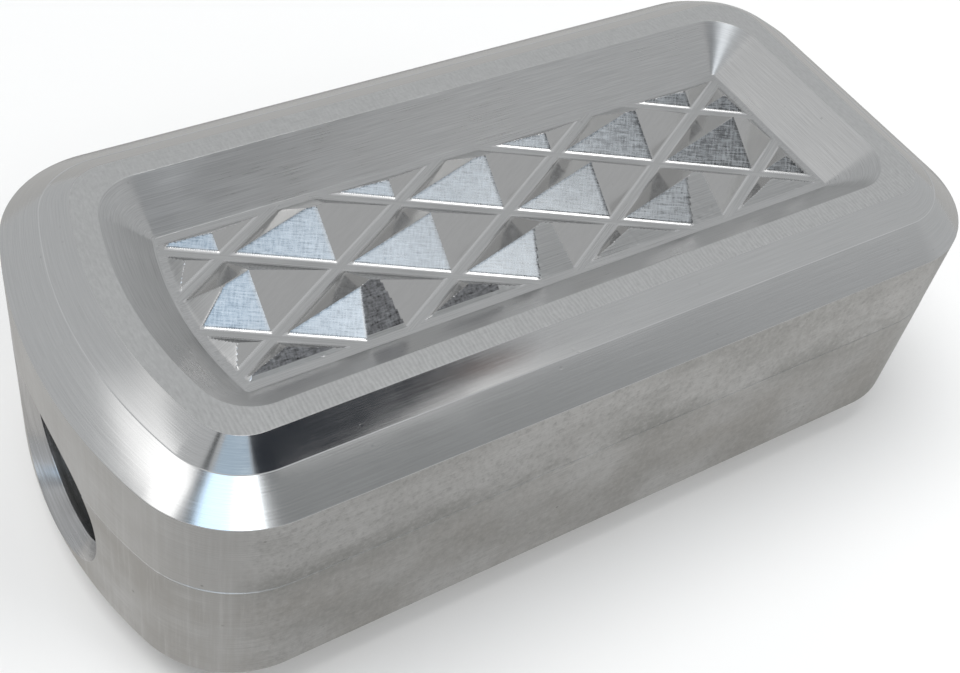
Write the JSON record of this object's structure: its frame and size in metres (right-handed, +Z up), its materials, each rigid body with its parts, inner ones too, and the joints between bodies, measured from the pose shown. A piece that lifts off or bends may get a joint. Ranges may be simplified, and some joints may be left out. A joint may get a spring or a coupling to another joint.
{
  "type": "foot peg",
  "caption": "Billet motorcycle foot peg with a sunk pyramid tread, bowed outer end, deep counterbore, through bolt with lock washer, and index pins in its flat inner face.",
  "frame": {"origin": "on the bolt's axis, at the flat inner face that seats against the mount", "axes": "+X out of the inner face along the bolt, towards the motorcycle's mount; -X towards the bowed outer end; +Z up out of the tread; -Y the front side of the peg"},
  "size_m": [0.112, 0.05, 0.0332],
  "materials": {
    "machined_aluminium": "as machined, satin, with cutter marks",
    "black_oxide_steel": "black oxide, slightly oily",
    "spring_steel": "zinc plated",
    "ground_steel": "ground"
  },
  "bodies": {
    "peg": {"peg_body": "machined_aluminium", "front_index_pin": "ground_steel", "rear_index_pin": "ground_steel"},
    "washer": {"lock_washer": "spring_steel"},
    "bolt": {"mounting_bolt": "black_oxide_steel"}
  },
  "joints": [
    {"name": "bolt_draw", "type": "slide", "parent": "peg", "child": "washer", "axis": [-1, 0, 0], "range_m": [0, 0.074]},
    {"name": "bolt_turn", "type": "hinge", "parent": "washer", "child": "bolt", "pos_m": [0, 0, 0], "axis": [1, 0, 0], "continuous": true}
  ]
}
